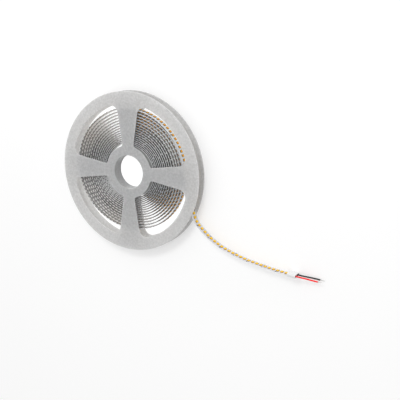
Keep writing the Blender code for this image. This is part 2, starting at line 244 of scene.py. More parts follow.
# The materials' noise: its detail, and where in it a colour is at its darkest and its lightest
NOISE_DETAIL = 3.0
DARKEST_AT = 0.3
LIGHTEST_AT = 0.7

# Floor
FLOOR_REACH = 6.0
FLOOR_GREY = 0.95
FLOOR_GLOW = 1.10

# How much of the floor's white is glow, as the camera sees it and as it lights the reel
SEEN_OUTSIDE = 0.35
SEEN_UNDER_REEL = 0.90
CAST_OUTSIDE = 0.40
CAST_UNDER_REEL = 0.95
CAST_IN_BORE = 0.05
UNDER_REEL_RADIUS = 83.0 * MM
UNDER_REEL_SOFT = 4.0 * MM
IN_BORE_RADIUS = 24.0 * MM
IN_BORE_SOFT = 3.0 * MM

# The soft light all round, and the side that it mostly comes from
BRIGHT_SIDE = (-0.75, 0.45, 0.4)
FILL_LOW = 0.10
FILL_HIGH = 1.20

# Two lamps: the key lamp above the rim, and a low one that lights the edges on the right
KEY_LAMP_PLACE = (0.05, 0.62, 0.75)
KEY_LAMP_TARGET = (0.05, -0.05, 0.0)
KEY_LAMP_SIZE = 0.3
KEY_LAMP_POWER = 2.6
EDGE_LAMP_PLACE = (0.85, 0.35, 0.09)
EDGE_LAMP_TARGET = (0.0, 0.0, 0.0)
EDGE_LAMP_SIZE = 0.10
EDGE_LAMP_POWER = 0.8

# Camera
CAMERA_PLACE = (0.48457, 0.18129, 0.71707)
CAMERA_FORWARD = (-0.47272435, -0.24326623, -0.84696708)
CAMERA_UP = (-0.11855945, 0.96995956, -0.21241967)
FOCAL_LENGTH_IN_MM = 70.137
SENSOR_WIDTH_IN_MM = 36.0
CLIP_START = 0.01
CLIP_END = 50.0


# Materials

def add_noise(tree, scale):
    coordinates = tree.nodes.new("ShaderNodeTexCoord")
    noise = tree.nodes.new("ShaderNodeTexNoise")
    noise.inputs["Scale"].default_value = scale
    noise.inputs["Detail"].default_value = NOISE_DETAIL
    tree.links.new(coordinates.outputs["Object"], noise.inputs["Vector"])
    return noise


def add_variation(tree, shader, scale, dark, light):
    noise = add_noise(tree, scale)
    ramp = tree.nodes.new("ShaderNodeValToRGB")
    ramp.color_ramp.elements[0].position = DARKEST_AT
    ramp.color_ramp.elements[0].color = (*dark, 1.0)
    ramp.color_ramp.elements[1].position = LIGHTEST_AT
    ramp.color_ramp.elements[1].color = (*light, 1.0)
    tree.links.new(noise.outputs["Fac"], ramp.inputs["Fac"])
    tree.links.new(ramp.outputs["Color"], shader.inputs["Base Color"])


def add_bump(tree, shader, scale, strength, depth):
    noise = add_noise(tree, scale)
    bump = tree.nodes.new("ShaderNodeBump")
    bump.inputs["Strength"].default_value = strength
    bump.inputs["Distance"].default_value = depth
    tree.links.new(noise.outputs["Fac"], bump.inputs["Height"])
    tree.links.new(bump.outputs["Normal"], shader.inputs["Normal"])


def make_material(name, dark, light, roughness, grain, bump, metallic=0.0, specular=0.5):
    """A colour that varies from dark to light. bump is a noise's scale, its strength and its depth."""
    material = bpy.data.materials.new(name)
    material.use_nodes = True
    tree = material.node_tree
    shader = tree.nodes["Principled BSDF"]
    shader.inputs["Base Color"].default_value = (*light, 1.0)
    shader.inputs["Roughness"].default_value = roughness
    shader.inputs["Metallic"].default_value = metallic
    shader.inputs["Specular IOR Level"].default_value = specular
    add_variation(tree, shader, grain, dark, light)
    add_bump(tree, shader, *bump)
    return material


def make_reel_plastic():
    """Moulded plastic that lets some light in."""
    material = make_material(
        "reel_grey_plastic", dark=(0.42, 0.42, 0.42), light=(0.53, 0.53, 0.53),
        roughness=0.42, grain=450, bump=(1400, 0.25, COARSE), specular=0.4)
    shader = material.node_tree.nodes["Principled BSDF"]
    shader.inputs["Subsurface Weight"].default_value = 1.0
    shader.inputs["Subsurface Radius"].default_value = (1.0, 0.98, 0.95)
    shader.inputs["Subsurface Scale"].default_value = 6.0 * MM
    return material


def make_materials():
    """All the finishes. The winding and the free end have lit and shaded copies of some: the winding's mask
    is painted lighter and its packages near black for the shade among the turns, its phosphor a deeper
    orange and the free end's yellower for the light on each, and the free end's pads are painted dark for
    the shade by each package.
    """
    return {
        "reel": make_reel_plastic(),
        "free_mask": make_material(
            "strip_white_mask", dark=(0.64, 0.65, 0.68), light=(0.70, 0.71, 0.74),
            roughness=0.38, grain=700, bump=(2500, 0.1, FINE)),
        # Painted light: the winding's mask is lighter than the free end's, against the shade among the
        # turns
        "winding_mask_painted_light": make_material(
            "winding_white_mask_painted_light", dark=(0.84, 0.85, 0.87), light=(0.88, 0.89, 0.91),
            roughness=0.38, grain=700, bump=(2500, 0.1, FINE)),
        "back": make_material(
            "strip_back_tape", dark=(0.86, 0.86, 0.86), light=(0.90, 0.90, 0.90),
            roughness=0.55, grain=600, bump=(1500, 0.2, FINE)),
        # Painted shade: the winding's package bodies are near black for the shade among the turns
        "wound_body": make_material(
            "package_resin_painted_shade", dark=(0.11, 0.08, 0.055), light=(0.16, 0.12, 0.085),
            roughness=0.4, grain=900, bump=(3000, 0.1, FINE), specular=0.2),
        "free_body": make_material(
            "package_amber_resin", dark=(0.56, 0.29, 0.05), light=(0.66, 0.36, 0.07),
            roughness=0.45, grain=900, bump=(3000, 0.1, FINE), specular=0.2),
        # Painted shade and light: one phosphor, a deeper orange in the winding's shade and yellower on the
        # free end in the light
        "wound_phosphor": make_material(
            "phosphor_painted_shade", dark=(1.0, 0.44, 0.0), light=(1.0, 0.52, 0.01),
            roughness=0.5, grain=1200, bump=(4000, 0.1, FINE), specular=0.2),
        "free_phosphor": make_material(
            "phosphor_painted_light", dark=(1.0, 0.58, 0.0), light=(1.0, 0.66, 0.01),
            roughness=0.5, grain=1200, bump=(4000, 0.1, FINE), specular=0.2),
        "wound_pad": make_material(
            "tinned_pads", dark=(0.60, 0.61, 0.63), light=(0.75, 0.76, 0.77),
            roughness=0.32, grain=2000, bump=(4000, 0.3, FINE), metallic=0.3),
        # Painted shade: the free end's pads are dark grey for the shade by each package
        "free_pad": make_material(
            "pads_painted_shade", dark=(0.20, 0.20, 0.24), light=(0.32, 0.32, 0.37),
            roughness=0.4, grain=2000, bump=(4000, 0.3, FINE), metallic=0.3),
        # Painted shade: near-black dashes and lines for the gaps between the wound turns
        "dash": make_material(
            "strip_painted_shade_dashes", dark=(0.010, 0.010, 0.011), light=(0.020, 0.020, 0.021),
            roughness=0.6, grain=900, bump=(2500, 0.1, FINE), specular=0.1),
        "line": make_material(
            "strip_painted_shade_lines", dark=(0.02, 0.02, 0.022), light=(0.04, 0.04, 0.043),
            roughness=0.6, grain=900, bump=(2500, 0.1, FINE), specular=0.1),
        "resistor": make_material(
            "resistor_black_glaze", dark=(0.02, 0.02, 0.022), light=(0.05, 0.05, 0.055),
            roughness=0.3, grain=2000, bump=(4000, 0.1, FINE)),
        "sleeve": make_material(
            "sleeve_white_vinyl", dark=(0.73, 0.74, 0.74), light=(0.79, 0.80, 0.80),
            roughness=0.42, grain=500, bump=(900, 0.25, COARSE)),
        "black": make_material(
            "wire_black_vinyl", dark=(0.006, 0.006, 0.007), light=(0.014, 0.014, 0.015),
            roughness=0.4, grain=900, bump=(1500, 0.15, MIDDLING)),
        "red": make_material(
            "wire_red_vinyl", dark=(0.90, 0.010, 0.010), light=(1.0, 0.016, 0.014),
            roughness=0.4, grain=900, bump=(1500, 0.15, MIDDLING)),
        "tin": make_material(
            "tinned_copper", dark=(0.55, 0.55, 0.54), light=(0.75, 0.75, 0.73),
            roughness=0.28, grain=2500, bump=(4000, 0.3, FINE), metallic=1.0),
    }


# Mesh helpers

def add_object(name, data):
    item = bpy.data.objects.new(name, data)
    bpy.context.scene.collection.objects.link(item)
    return item


def add_piece(name, vertices, faces, materials, sharp_angle=None, indices=None):
    """A mesh piece of the reel, shaded flat unless it is given the angle of its sharp edges."""
    mesh = bpy.data.meshes.new(name)
    mesh.from_pydata([tuple(v) for v in vertices], [], faces)
    for material in materials:
        mesh.materials.append(material)
    if indices:
        mesh.polygons.foreach_set("material_index", indices)
    mesh.validate()
    if sharp_angle:
        mesh.shade_smooth()
        mesh.set_sharp_from_angle(angle=math.radians(sharp_angle))
    mesh.update()
    piece = add_object(name, mesh)
    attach(piece, "root")
    return piece


class Builder:
    """Gathers vertices and faces of many small parts into one mesh."""

    def __init__(self):
        self.vertices = []
        self.faces = []

    def add(self, vertices, faces):
        start = len(self.vertices)
        self.vertices += vertices
        self.faces += [tuple(start + i for i in face) for face in faces]

    def add_placed(self, frame, *templates):
        for vertices, faces in templates:
            self.add([frame @ v for v in vertices], faces)

    def piece(self, name, material, slot_name, sharp_angle=None):
        return add_piece(name, self.vertices, self.faces, [material], sharp_angle)


def ring_faces(count, first, second):
    """Faces between two rings of vertices, which are numbered from first and from second."""
    faces = []
    for i in range(count):
        j = (i + 1) % count
        faces.append((first + i, first + j, second + j, second + i))
    return faces


def arc_points(centre, radius, first, last, steps):
    turns = [first + (last - first) * i / steps for i in range(steps + 1)]
    return [centre + Vector((radius * math.cos(a), radius * math.sin(a))) for a in turns]


def angle_of(vector):
    return math.atan2(vector.y, vector.x)


def side_of(direction):
    """The level direction to the left of a direction, which is the strip's LED side."""
    return Vector((-direction.y, direction.x, 0)).normalized()


def rounded_box(width, height, radius, steps):
    """The outline of a box with rounded corners, with its centre at the origin."""
    points = []
    for quarter, (side_x, side_y) in enumerate(((1, 1), (-1, 1), (-1, -1), (1, -1))):
        centre = Vector((side_x * (width / 2 - radius), side_y * (height / 2 - radius)))
        first = quarter * math.pi / 2
        points += arc_points(centre, radius, first, first + math.pi / 2, steps)
    return points


# Reel

def window_outline():
    """The window between +X and +Y: half of it is worked out and then mirrored in its middle line."""
    middle_turn = math.pi / 4
    hub_half, rim_half = SPOKE_WIDTH_AT_HUB / 2, SPOKE_WIDTH_AT_RIM / 2
    start = Vector((math.sqrt(WINDOW_HUB_RADIUS**2 - hub_half**2), hub_half))
    end = Vector((math.sqrt(WINDOW_RIM_RADIUS**2 - rim_half**2), rim_half))
    along = (end - start).normalized()
    inward = Vector((-along.y, along.x))

    def corner(centre_radius, corner_radius):
        """The centre of a rounded corner, and where it touches the spoke's edge."""
        base = start + inward * corner_radius
        reach = base.dot(along)
        offset = math.sqrt(reach**2 - base.length_squared + centre_radius**2)
        middle = base + along * (offset - reach)
        return middle, middle - inward * corner_radius

    hub_corner, hub_touch = corner(WINDOW_HUB_RADIUS + WINDOW_HUB_CORNER, WINDOW_HUB_CORNER)
    rim_corner, rim_touch = corner(WINDOW_RIM_RADIUS - WINDOW_RIM_CORNER, WINDOW_RIM_CORNER)
    hub_turn, rim_turn = angle_of(hub_corner), angle_of(rim_corner)
    hub_steps = round((middle_turn - hub_turn) / ARC_STEP)
    rim_steps = round((middle_turn - rim_turn) / ARC_STEP)
    centre = Vector((0, 0))
    half = arc_points(centre, WINDOW_HUB_RADIUS, middle_turn, hub_turn, hub_steps)[:-1]
    half += arc_points(hub_corner, WINDOW_HUB_CORNER, hub_turn - math.pi,
                       angle_of(hub_touch - hub_corner), CORNER_STEPS)
    half += arc_points(rim_corner, WINDOW_RIM_CORNER, angle_of(rim_touch - rim_corner), rim_turn,
                       CORNER_STEPS)
    half += arc_points(centre, WINDOW_RIM_RADIUS, rim_turn, middle_turn, rim_steps)[1:]
    return half + [Vector((p.y, p.x)) for p in reversed(half[1:-1])]


def inset(points, distance):
    """The closed outline moved into the plastic, which is on its left as it runs."""
    moved = []
    for i, point in enumerate(points):
        before, after = points[i - 1], points[(i + 1) % len(points)]
        a, b = (point - before).normalized(), (after - point).normalized()
        normal = Vector((-a.y - b.y, a.x + b.x)).normalized()
        moved.append(point + normal * distance)
    return moved


def fill_between(builder, loops):
    """Flat faces between an outer loop and the holes in it."""
    bm = bmesh.new()
    number = bm.verts.layers.int.new("number")
    edges = []
    for loop in loops:
        verts = []
        for i in loop:
            vert = bm.verts.new(builder.vertices[i])
            vert[number] = i
            verts.append(vert)
        edges += [bm.edges.new((verts[i], verts[(i + 1) % len(verts)])) for i in range(len(verts))]
    bmesh.ops.triangle_fill(bm, use_beauty=True, edges=edges)
    for face in bm.faces:
        builder.faces.append(tuple(vert[number] for vert in face.verts))
    bm.free()


def plate(builder):
    """A flange with its outer face at z = 0 and its inner face above.

    Its edges are rounded on both faces. The bore's edge is rounded on the outer face only, because the
    bore sleeve goes on from the inner one.
    """
    centre = Vector((0, 0))
    rim = arc_points(centre, REEL_RADIUS, 0, 2 * math.pi, CIRCLE_SEGMENTS)[:-1]
    bore = arc_points(centre, BORE_RADIUS, 0, 2 * math.pi, CIRCLE_SEGMENTS)[:-1]
    window = window_outline()
    outlines = [(rim, True)]
    for quarter in range(4):
        turn = Matrix.Rotation(math.pi / 2 * quarter, 2)
        outlines.append(([turn @ p for p in reversed(window)], True))
    outlines.append((bore[::-1], False))

    curve = []
    for i in range(EDGE_STEPS + 1):
        angle = math.pi / 2 * i / EDGE_STEPS
        curve.append((EDGE_ROUND * (1 - math.sin(angle)), EDGE_ROUND * (1 - math.cos(angle))))

    low, high = [], []
    for points, both_rounded in outlines:
        steps = [(FLAT_FROM_EDGE, 0)] + curve
        if both_rounded:
            steps += [(inward, FLANGE_THICKNESS - z) for inward, z in reversed(curve)]
        else:
            steps.append((0, FLANGE_THICKNESS))
        steps.append((FLAT_FROM_EDGE, FLANGE_THICKNESS))
        start = len(builder.vertices)
        count = len(points)
        vertices = []
        for inward, z in steps:
            vertices += [Vector((p.x, p.y, z)) for p in inset(points, inward)]
        faces = []
        for k in range(len(steps) - 1):
            faces += ring_faces(count, k * count, (k + 1) * count)
        builder.add(vertices, faces)
        end = len(builder.vertices)
        low.append(range(start, start + count))
        high.append(range(end - count, end))
    fill_between(builder, low)
    fill_between(builder, high)


def wall(builder, inner, outer, low, high):
    """A round wall about the axis, chamfered at its high end."""
    profile = [
        (inner, low),
        (outer, low),
        (outer, high - WALL_CHAMFER),
        (outer - WALL_CHAMFER, high),
        (inner + WALL_CHAMFER, high),
        (inner, high - WALL_CHAMFER),
    ]
    turns = [2 * math.pi * i / CIRCLE_SEGMENTS for i in range(CIRCLE_SEGMENTS)]
    vertices = []
    for radius, z in profile:
        vertices += [Vector((radius * math.cos(a), radius * math.sin(a), z)) for a in turns]
    faces = []
    for k in range(len(profile)):
        following = (k + 1) % len(profile)
        faces += ring_faces(CIRCLE_SEGMENTS, k * CIRCLE_SEGMENTS, following * CIRCLE_SEGMENTS)
    builder.add(vertices, faces)


def build_reel_half(name, node, material, front=False):
    """A flange with half of the bore sleeve and of the drum. The front one is the rear one turned over."""
    builder = Builder()
    plate(builder)
    top = REEL_WIDTH / 2 - JOINT_GAP / 2
    wall(builder, BORE_RADIUS, SLEEVE_RADIUS, FLANGE_THICKNESS, top)
    wall(builder, DRUM_RADIUS - DRUM_WALL, DRUM_RADIUS, FLANGE_THICKNESS, top)
    if front:
        builder.vertices = [Vector((v.x, -v.y, REEL_WIDTH - v.z)) for v in builder.vertices]
    piece = builder.piece(name, material, "reel_plastic")
    bm = bmesh.new()
    bm.from_mesh(piece.data)
    bmesh.ops.recalc_face_normals(bm, faces=bm.faces[:])
    bm.to_mesh(piece.data)
    bm.free()
    piece.data.shade_smooth()
    piece.data.set_sharp_from_angle(angle=math.radians(HARD_EDGE))
    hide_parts(node)


# Strip

def winding_point(turns):
    """The middle of the strip so many turns from its inner end. Loose turns are oval and off centre."""
    angle = WINDING_START - 2 * math.pi * turns
    even = WINDING_INNER + FIRST_PITCH * turns + PITCH_GROWTH * turns**2 / 2
    share = LOOSE_SHARE_INSIDE + (1 - LOOSE_SHARE_INSIDE) * turns / WINDING_TURNS
    loose = (LOOSE_RIGHT * math.cos(angle) + LOOSE_UP * math.sin(angle)
             + LOOSE_OVAL * math.cos(2 * angle) + LOOSE_SKEW * math.sin(2 * angle))
    drawn = min(max((turns - WINDING_TURNS + DRAWN_IN_FROM_END) / DRAWN_IN_OVER, 0.0), 1.0)
    radius = even + share * loose - LAST_TURN_DRAWN_IN * drawn**2 * (3 - 2 * drawn)
    return Vector((radius * math.cos(angle), radius * math.sin(angle), CHANNEL_FLOOR + STRIP_WIDTH / 2))


def smooth_route(knots):
    """Points along a smooth curve through the knots, no further apart than the route's step."""
    chords = [0.0]
    for a, b in zip(knots, knots[1:]):
        chords.append(chords[-1] + (b - a).length)
    slopes = []
    for i in range(len(knots)):
        low, high = max(i - 1, 0), min(i + 1, len(knots) - 1)
        slopes.append((knots[high] - knots[low]) / (chords[high] - chords[low]))
    line = [knots[0]]
    for i in range(len(knots) - 1):
        span = chords[i + 1] - chords[i]
        pieces = max(1, math.ceil(span / ROUTE_STEP))
        for k in range(1, pieces + 1):
            t = k / pieces
            line.append(knots[i] * (2 * t**3 - 3 * t**2 + 1) + slopes[i] * span * (t**3 - 2 * t**2 + t)
                        + knots[i + 1] * (3 * t**2 - 2 * t**3) + slopes[i + 1] * span * (t**3 - t**2))
    return line


class Route:
    """A line that can be asked for the point at a distance along it."""

    def __init__(self, line):
        self.line = line
        self.reached = [0.0]
        for a, b in zip(line, line[1:]):
            self.reached.append(self.reached[-1] + (b - a).length)
        self.length = self.reached[-1]

    def at(self, distance):
        low, high = 0, len(self.line) - 2
        while low < high:
            middle = (low + high + 1) // 2
            if self.reached[middle] <= distance:
                low = middle
            else:
                high = middle - 1
        share = (distance - self.reached[low]) / (self.reached[low + 1] - self.reached[low])
        return self.line[low].lerp(self.line[low + 1], share)

    def frame(self, distance):
        """X along the strip, Y out of its LED side and Z up, at a point of its centre line."""
        before, after = self.at(distance - FRAME_REACH), self.at(distance + FRAME_REACH)
        along = (after - before).normalized()
        side = side_of(along)
        up = along.cross(side)
        frame = Matrix((along, side, up)).transposed().to_4x4()
        frame.translation = self.at(distance)
        return frame

    def even_marks(self, sections):
        return [self.length * i / sections for i in range(sections + 1)]


def ribbon(name, route, marks, mask, back):
    """The film on its edge, with the mask on its LED side and its rims, and the tape on its back."""
    half = STRIP_WIDTH / 2
    low, high = -half + FILM_RIM, half - FILM_RIM
    profile = [(1, low), (1, high), (FILM_RIM_FLAT, half), (-FILM_RIM_FLAT, half),
               (-1, high), (-1, low), (-FILM_RIM_FLAT, -half), (FILM_RIM_FLAT, -half)]
    back_side = profile.index((-1, high))
    vertices, faces, indices = [], [], []
    for mark in marks:
        frame = route.frame(mark)
        vertices += [frame @ Vector((0, y * FILM / 2, z)) for y, z in profile]
    count = len(profile)
    for k in range(len(marks) - 1):
        for i in range(count):
            j = (i + 1) % count
            faces.append((k * count + i, (k + 1) * count + i, (k + 1) * count + j, k * count + j))
            indices.append(1 if i == back_side else 0)
    faces.append(tuple(range(count)))
    faces.append(tuple(reversed(range((len(marks) - 1) * count, len(marks) * count))))
    indices += [0, 0]
    return add_piece(name, vertices, faces, [mask, back], HARD_EDGE, indices)


def package_templates(corner_steps):
    """The body and the phosphor of one package, lying along X with its face out along Y."""
    surface = FILM / 2 + CONTACT
    vertices, faces = [], []
    for narrower, height, radius in PACKAGE_OUTLINES:
        outline = rounded_box(LED_LENGTH - narrower, LED_WIDTH - narrower, radius, corner_steps)
        vertices += [Vector((p.x, surface + height, p.y)) for p in outline]
    count = len(vertices) // len(PACKAGE_OUTLINES)
    for k in range(len(PACKAGE_OUTLINES) - 1):
        faces += ring_faces(count, k * count, (k + 1) * count)
    faces.append(tuple(reversed(range(count))))
    middle = Vector((0, surface + LED_HEIGHT - PHOSPHOR_DIP, 0))
    phosphor_faces = [(i, (i + 1) % count, count) for i in range(count)]
    return (vertices, faces), (vertices[-count:] + [middle], phosphor_faces)


def block_template(block, rise, along=0.0):
    """A small block with a bevelled top, on the LED side of the film."""
    length, height, width = block
    bottom = FILM / 2 + CONTACT
    bevel = min(block) * BLOCK_BEVEL
    vertices = []
    for less, y in ((0, bottom), (0, bottom + height - bevel), (bevel, bottom + height)):
        for x, z in ((1, 1), (-1, 1), (-1, -1), (1, -1)):
            vertices.append(Vector((x * (length / 2 - less) + along, y, z * (width / 2 - less) + rise)))
    faces = ring_faces(4, 0, 4) + ring_faces(4, 4, 8) + [(8, 9, 10, 11), (3, 2, 1, 0)]
    return vertices, faces


def dash_template():
    """A thin dark dash of painted shade on the back of the film."""
    corners = [Vector((x * DASH_LENGTH / 2, -FILM / 2 - CONTACT, DASH_RISE + z * DASH_WIDTH / 2))
               for x, z in ((-1, -1), (-1, 1), (1, 1), (1, -1))]
    return corners, [(3, 2, 1, 0)]


def lay_line(builder, route, marks, rise, width, back=False):
    """A thin dark line of painted shade along the strip, on its LED side or on its back."""
    y = -FILM / 2 - CONTACT if back else FILM / 2 + CONTACT
    vertices = []
    for mark in marks:
        frame = route.frame(mark)
        vertices += [frame @ Vector((0, y, rise - width / 2)), frame @ Vector((0, y, rise + width / 2))]
    faces = []
    for k in range(len(marks) - 1):
        a, b, c, d = 2 * k, 2 * k + 1, 2 * k + 3, 2 * k + 2
        faces.append((d, c, b, a) if back else (a, b, c, d))
    builder.add(vertices, faces)


def build_painted_shade(route, marks, distances, materials):
    """Painted shade: a dark dash behind each package, and dark lines along both sides of the strip, for the
    shade in the gaps between the turns.
    """
    dashes, lines = Builder(), Builder()
    dash = dash_template()
    for distance in distances:
        dashes.add_placed(route.frame(distance), dash)
    tight_turns = [mark for mark in marks if mark < route.length * TIGHT_TURNS_SHARE]
    all_but_last_turn = [mark for mark in marks if mark < route.length - LAST_TURN_LENGTH]
    lay_line(lines, route, marks, BACK_LOWER_LINE_RISE, BACK_LOWER_LINE_WIDTH, back=True)
    lay_line(lines, route, tight_turns, UPPER_LINE_RISE, UPPER_LINE_WIDTH)
    lay_line(lines, route, tight_turns, BACK_UPPER_LINE_RISE, BACK_UPPER_LINE_WIDTH, back=True)
    lay_line(lines, route, all_but_last_turn, LOWER_LINE_RISE, LOWER_LINE_WIDTH)
    dashes.piece("wound_dashes", materials["dash"], "strip_white")
    lines.piece("wound_lines", materials["line"], "strip_white")


def build_on_strip(prefix, route, distances, first_number, corner_steps, materials):
    """Packages, their solder pads, resistors and cut pads along a stretch of strip."""
    body, phosphor = package_templates(corner_steps)
    pad_rise = LED_WIDTH / 2 + PAD_PAST_LED
    led_pads = [block_template(PAD_BLOCK, sign * pad_rise) for sign in (-1, 1)]
    cut_pads = [block_template(CUT_PAD_BLOCK, sign * CUT_PAD_RISE) for sign in (-1, 1)]
    resistor = block_template(RESISTOR_BLOCK, RESISTOR_RISE)
    resistor_caps = [block_template(RESISTOR_CAP_BLOCK, RESISTOR_RISE, sign * RESISTOR_CAP_FROM_MIDDLE)
                     for sign in (-1, 1)]
    bodies, phosphors, resistors, caps, pads = (Builder() for _ in range(5))
    for number, distance in enumerate(distances, first_number):
        frame = route.frame(distance)
        bodies.add_placed(frame, body)
        phosphors.add_placed(frame, phosphor)
        pads.add_placed(frame, *led_pads)
        if number % LEDS_PER_RESISTOR == 0:
            beside = route.frame(distance - RESISTOR_BEHIND_LED)
            resistors.add_placed(beside, resistor)
            caps.add_placed(beside, *resistor_caps)
        if number % LEDS_PER_RESISTOR == CUT_AFTER_LED:
            pads.add_placed(route.frame(distance + LED_PITCH / 2), *cut_pads)
    body_material = materials[prefix + "_body"]
    phosphor_material = materials[prefix + "_phosphor"]
    pad_material = materials[prefix + "_pad"]
    return {
        "bodies": bodies.piece(prefix + "_packages", body_material, "led_package", HARD_EDGE),
        "phosphors": phosphors.piece(prefix + "_phosphor", phosphor_material, "led_package", SOFTEST_EDGE),
        "resistors": resistors.piece(prefix + "_resistors", materials["resistor"], "resistor_black"),
        "caps": caps.piece(prefix + "_resistor_ends", materials["tin"], "tinned_copper"),
        "pads": pads.piece(prefix + "_pads", pad_material, "tinned_copper"),
    }


def led_distances(last, clear_at_start):
    """How far along a strip its packages are, from the last one back to its start."""
    count = int((last - clear_at_start) / LED_PITCH) + 1
    return [last - LED_PITCH * i for i in reversed(range(count))]


def wound_route():
    """The strip's middle line from its inner end at the drum to the end of its last turn."""
    steps = round(WINDING_TURNS * TURN_POINTS)
    return Route([winding_point(WINDING_TURNS * i / steps) for i in range(steps + 1)])


def build_winding(route, first_free_led, materials):
    marks = route.even_marks(round(WINDING_TURNS * TURN_SECTIONS))
    film = ribbon("wound_strip", route, marks, materials["winding_mask_painted_light"], materials["back"])
    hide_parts("strip_winding")
    distances = led_distances(route.length + END_GAP + first_free_led - LED_PITCH, LED_LENGTH)
    build_on_strip("wound", route, distances, 1 - len(distances), WOUND_CORNER_STEPS, materials)
    build_painted_shade(route, marks, distances, materials)


def free_route(wound):
    """The free end's middle line, which goes on from the winding and over the floor."""
    end = wound.line[-1]
    away = (end - wound.line[-2]).normalized()
    knots = [end + away * END_GAP]
    knots += [Vector((x * MM, y * MM, z * MM + STRIP_WIDTH / 2)) for x, y, z in FREE_ROUTE_MM]
    return Route(smooth_route(knots))


def build_free_end(route, distances, materials):
    marks = route.even_marks(round(route.length / FREE_SECTION))
    film = ribbon("free_strip", route, marks, materials["free_mask"], materials["back"])
    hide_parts("strip_free_end")
    made = build_on_strip("free", route, distances, 1, FREE_CORNER_STEPS, materials)
    resistor_count = len(distances) // LEDS_PER_RESISTOR
    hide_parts(*[f"led_{i:02d}" for i in range(1, len(distances) + 1)])
    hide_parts(*[f"chip_resistor_{i}" for i in range(1, resistor_count + 1)])
    [route.at(mark) for mark in marks]


# End sleeve and wires

def build_end_sleeve(end, direction, materials):
    """Shrunk vinyl over the strip's end and the wires, a little uneven, with a wall at both mouths."""
    side = side_of(direction)
    up = Vector((0, 0, 1))
    start = end - direction * END_SLEEVE_ON_STRIP + side * END_SLEEVE_OFF_STRIP
    outside, inside = [], []
    for i in range(END_SLEEVE_STATIONS + 1):
        t = i / END_SLEEVE_STATIONS
        swell = RIPPLE * math.sin(RIPPLE_SPAN * t + RIPPLE_START) - TAPER * t
        at_strip = max(0, LIP_AT_STRIP - t) / LIP_AT_STRIP
        at_wires = max(0, t - 1 + LIP_AT_WIRES) / LIP_AT_WIRES
        lip = LIP * (at_strip + at_wires)
        width = END_SLEEVE_WIDTH + swell - lip
        height = END_SLEEVE_HEIGHT + RIPPLE_UPWARD * swell - lip
        middle = start + direction * (END_SLEEVE_LENGTH * t)
        for surface, less, radius in (
            (outside, 0, END_SLEEVE_ROUND_OUTSIDE),
            (inside, 2 * END_SLEEVE_WALL, END_SLEEVE_ROUND_INSIDE),
        ):
            outline = rounded_box(width - less, height - less, radius, END_SLEEVE_CORNER_STEPS)
            surface += [middle + side * p.x + up * p.y for p in outline]
    count = len(outside) // (END_SLEEVE_STATIONS + 1)
    inner = len(outside)
    faces = []
    for k in range(END_SLEEVE_STATIONS):
        faces += ring_faces(count, k * count, (k + 1) * count)
        faces += [tuple(reversed(f)) for f in ring_faces(count, inner + k * count, inner + (k + 1) * count)]
    strip_mouth = ring_faces(count, 0, inner)
    faces += [tuple(reversed(f)) for f in strip_mouth]
    last = END_SLEEVE_STATIONS * count
    faces += ring_faces(count, last, inner + last)
    piece = add_piece("vinyl_end_sleeve", outside + inside, faces, [materials["sleeve"]],
                      SOFT_EDGE)
    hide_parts("end_sleeve")
    return piece


def wire_route(route_mm, rise, end, direction):
    """A lead's route from its solder joint, which is the given rise above the strip's middle."""
    side = side_of(direction)

    def place(along, across, up):
        return end + direction * along + side * across + Vector((0, 0, up))

    start = -(END_SLEEVE_ON_STRIP - SOLDER_LENGTH) + SOLDER_LENGTH / 2 + WIRE_GAP
    knots = [place(start, WIRE_STANDOFF, rise)]
    knots += [place(x * MM, y * MM, z * MM) for x, y, z in route_mm]
    return Route(smooth_route(knots))


def build_wire(colour, route_mm, rise, end, direction, materials):
    """A lead's insulation, with its bare strands beyond it."""
    route = wire_route(route_mm, rise, end, direction)
    points = [route.at(mark) for mark in route.even_marks(WIRE_STEPS)]
    curve = bpy.data.curves.new(colour + "_lead", "CURVE")
    curve.dimensions = "3D"
    curve.bevel_depth = WIRE_DIAMETER / 2
    curve.bevel_resolution = WIRE_BEVEL_STEPS
    curve.use_fill_caps = True
    spline = curve.splines.new("POLY")
    spline.points.add(WIRE_STEPS)
    for slot, point in zip(spline.points, points):
        slot.co = (*point, 1.0)
    curve.materials.append(materials[colour])
    piece = add_object(colour + "_lead", curve)
    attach(piece, "root")
    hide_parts(colour + "_wire")
    strands = build_strands(colour, points[-1], (points[-1] - points[-2]).normalized(), materials)


def build_strands(colour, tip, away, materials):
    """Six tinned strands laid round a seventh, drawn together at the end."""
    side = away.cross(Vector((0, 0, 1))).normalized()
    up = side.cross(away)
    strand_radius = CONDUCTOR_DIAMETER / 6
    length = CONDUCTOR_BARE + WIRE_GAP + STRANDS_INSIDE
    builder = Builder()
    for number in range(7):
        lay_radius = 0 if number == 6 else 2 * strand_radius
        vertices = []
        for i in range(STRAND_STATIONS + 1):
            t = i / STRAND_STATIONS
            turn = number * math.pi / 3 + STRANDS_TWIST * t
            along = tip + away * (length * t - STRANDS_INSIDE)
            outward = side * math.cos(turn) + up * math.sin(turn)
            middle = along + outward * lay_radius * (1 - STRANDS_DRAWN_IN * t)
            for k in range(STRAND_SIDES):
                a = 2 * math.pi * k / STRAND_SIDES
                vertices.append(middle + (side * math.cos(a) + up * math.sin(a)) * strand_radius)
        faces = []
        for k in range(STRAND_STATIONS):
            faces += ring_faces(STRAND_SIDES, k * STRAND_SIDES, (k + 1) * STRAND_SIDES)
        faces.append(tuple(reversed(range(STRAND_SIDES))))
        faces.append(tuple(range(STRAND_STATIONS * STRAND_SIDES, (STRAND_STATIONS + 1) * STRAND_SIDES)))
        builder.add(vertices, faces)
    piece = builder.piece(colour + "_strands", materials["tin"], "tinned_copper", SOFT_EDGE)
    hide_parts(colour + "_wire_tip")
    return piece


# Floor, light and camera

